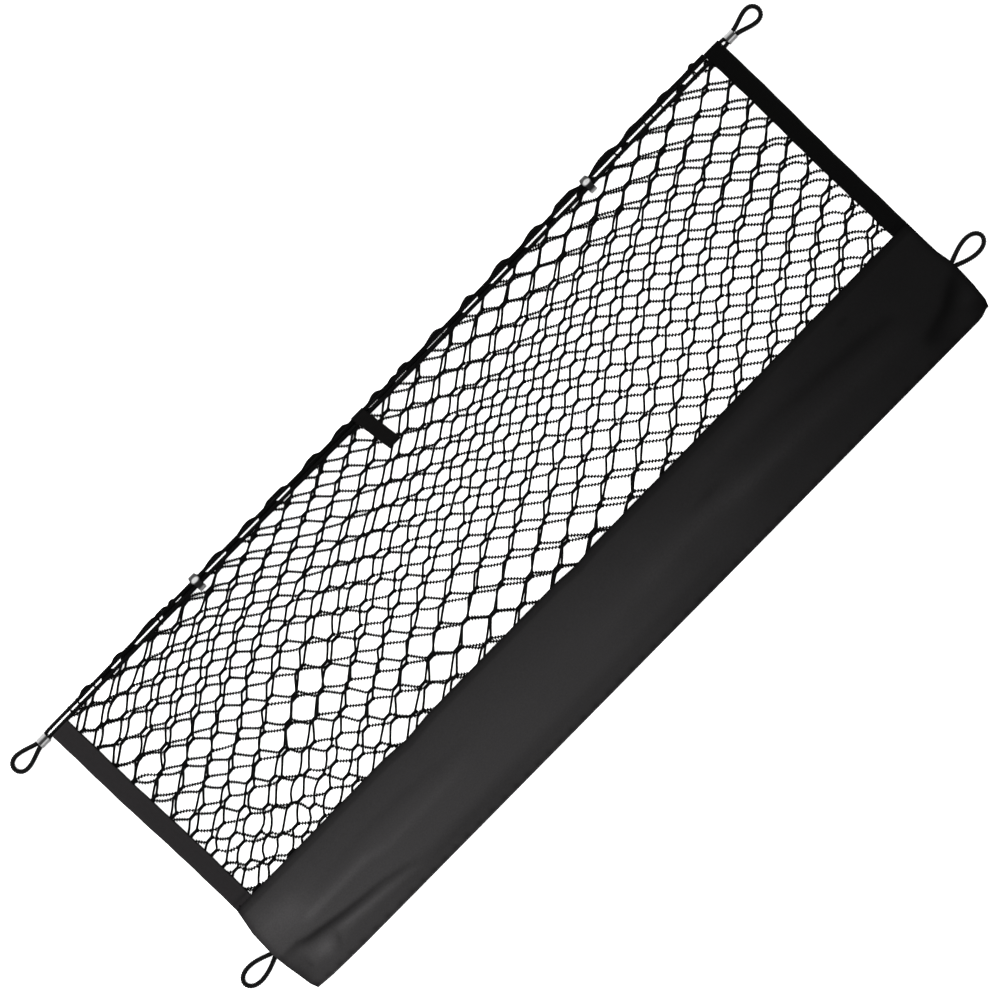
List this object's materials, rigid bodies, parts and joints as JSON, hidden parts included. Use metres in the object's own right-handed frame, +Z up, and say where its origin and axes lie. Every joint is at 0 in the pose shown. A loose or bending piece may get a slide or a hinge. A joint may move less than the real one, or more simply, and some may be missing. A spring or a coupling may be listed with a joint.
{
  "type": "cargo net",
  "caption": "Flat elastic envelope net for a car boot: two hexagon mesh layers above a folded cloth pocket, bound sides, an elastic top edge and hanging loops at the corners.",
  "frame": {"origin": "under the middle of the outline, on the surface that the net lies on", "axes": "+X along the net's length, +Y from the cloth's folded bottom edge to the elastic top edge, +Z up, away from the surface"},
  "size_m": [1, 0.3628, 0.0078],
  "materials": {
    "net_yarn": "knitted synthetic yarn, matt",
    "pocket_cloth": "close plain weave with a slight sheen",
    "binding_tape": "ribbed webbing, matt",
    "braided_elastic": "braided cover, matt",
    "plated_steel": "bright nickel plate"
  },
  "bodies": {
    "root": {"net_front": "net_yarn", "net_back": "net_yarn", "pocket_cloth": "pocket_cloth", "binding_left": "binding_tape", "binding_right": "binding_tape", "centre_strap": "binding_tape", "top_elastic": "braided_elastic", "loop_left": "braided_elastic", "loop_right": "braided_elastic", "crimp_left": "plated_steel", "crimp_right": "plated_steel", "clip_left": "plated_steel", "clip_right": "plated_steel"}
  },
  "joints": []
}
